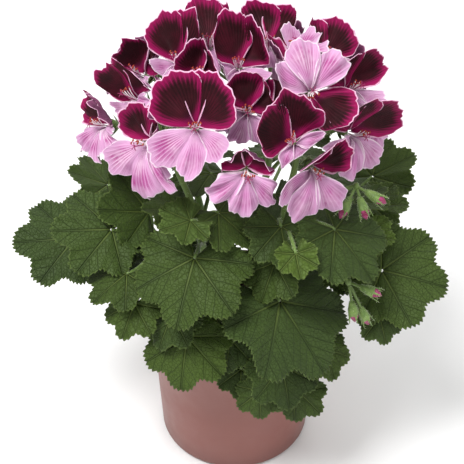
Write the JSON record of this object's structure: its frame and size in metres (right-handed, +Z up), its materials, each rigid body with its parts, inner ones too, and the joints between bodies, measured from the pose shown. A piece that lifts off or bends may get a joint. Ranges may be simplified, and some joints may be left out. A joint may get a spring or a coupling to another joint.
{
  "type": "potted pelargonium",
  "caption": "Regal pelargonium in a round plastic pot: scalloped, pleated leaves on branching stems below heads of ruffled blooms with wine upper and pale pink lower petals.",
  "frame": {"origin": "middle of the pot's underside, on the surface it stands on", "axes": "+Z up along the pot's axis, -Y towards the front of the plant as pictured, +X towards its right as seen from the front"},
  "size_m": [0.2752, 0.2122, 0.3147],
  "materials": {
    "pot": "satin brick-rose polypropylene",
    "soil": "dark, loose and rough",
    "leaf": "soft green with a slight sheen",
    "wine_petal": "velvety dark wine with a pale edge",
    "pink_petal": "soft pale pink with purple veins"
  },
  "bodies": {
    "root": {"bloom_01_lower": "pink_petal", "bloom_01_upper": "wine_petal", "bloom_02_lower": "pink_petal", "bloom_02_upper": "wine_petal", "bloom_03_lower": "pink_petal", "bloom_03_upper": "wine_petal", "bloom_04_lower": "pink_petal", "bloom_04_upper": "wine_petal", "bloom_05_lower": "pink_petal", "bloom_05_upper": "wine_petal", "bloom_06_lower": "pink_petal", "bloom_06_upper": "wine_petal", "bloom_07_lower": "pink_petal", "bloom_07_upper": "wine_petal", "bloom_08_lower": "pink_petal", "bloom_08_upper": "wine_petal", "bloom_09_lower": "pink_petal", "bloom_09_upper": "wine_petal", "bloom_10_lower": "pink_petal", "bloom_10_upper": "wine_petal", "bloom_11_lower": "pink_petal", "bloom_11_upper": "wine_petal", "bloom_12_lower": "pink_petal", "bloom_12_upper": "wine_petal", "bloom_13_lower": "pink_petal", "bloom_13_upper": "wine_petal", "bloom_14_lower": "pink_petal", "bloom_14_upper": "wine_petal", "bloom_15_lower": "pink_petal", "bloom_15_upper": "wine_petal", "bloom_16_lower": "pink_petal", "bloom_16_upper": "wine_petal", "bloom_17_lower": "pink_petal", "bloom_17_upper": "wine_petal", "bloom_18_lower": "pink_petal", "bloom_18_upper": "wine_petal", "bloom_19_lower": "pink_petal", "bloom_19_upper": "wine_petal", "bloom_20_lower": "pink_petal", "bloom_20_upper": "wine_petal", "bloom_21_lower": "pink_petal", "bloom_21_upper": "wine_petal", "bloom_22_lower": "pink_petal", "bloom_22_upper": "wine_petal", "bloom_23_lower": "pink_petal", "bloom_23_upper": "wine_petal", "bloom_24_lower": "pink_petal", "bloom_24_upper": "wine_petal", "bloom_25_lower": "pink_petal", "bloom_25_upper": "wine_petal", "pot": "pot", "soil": "soil", "stem_back_left": "leaf", "stem_back_right": "leaf", "stem_front": "leaf", "stem_front_left": "leaf", "stem_front_right": "leaf", "stem_left": "leaf", "stem_right": "leaf"}
  },
  "joints": []
}
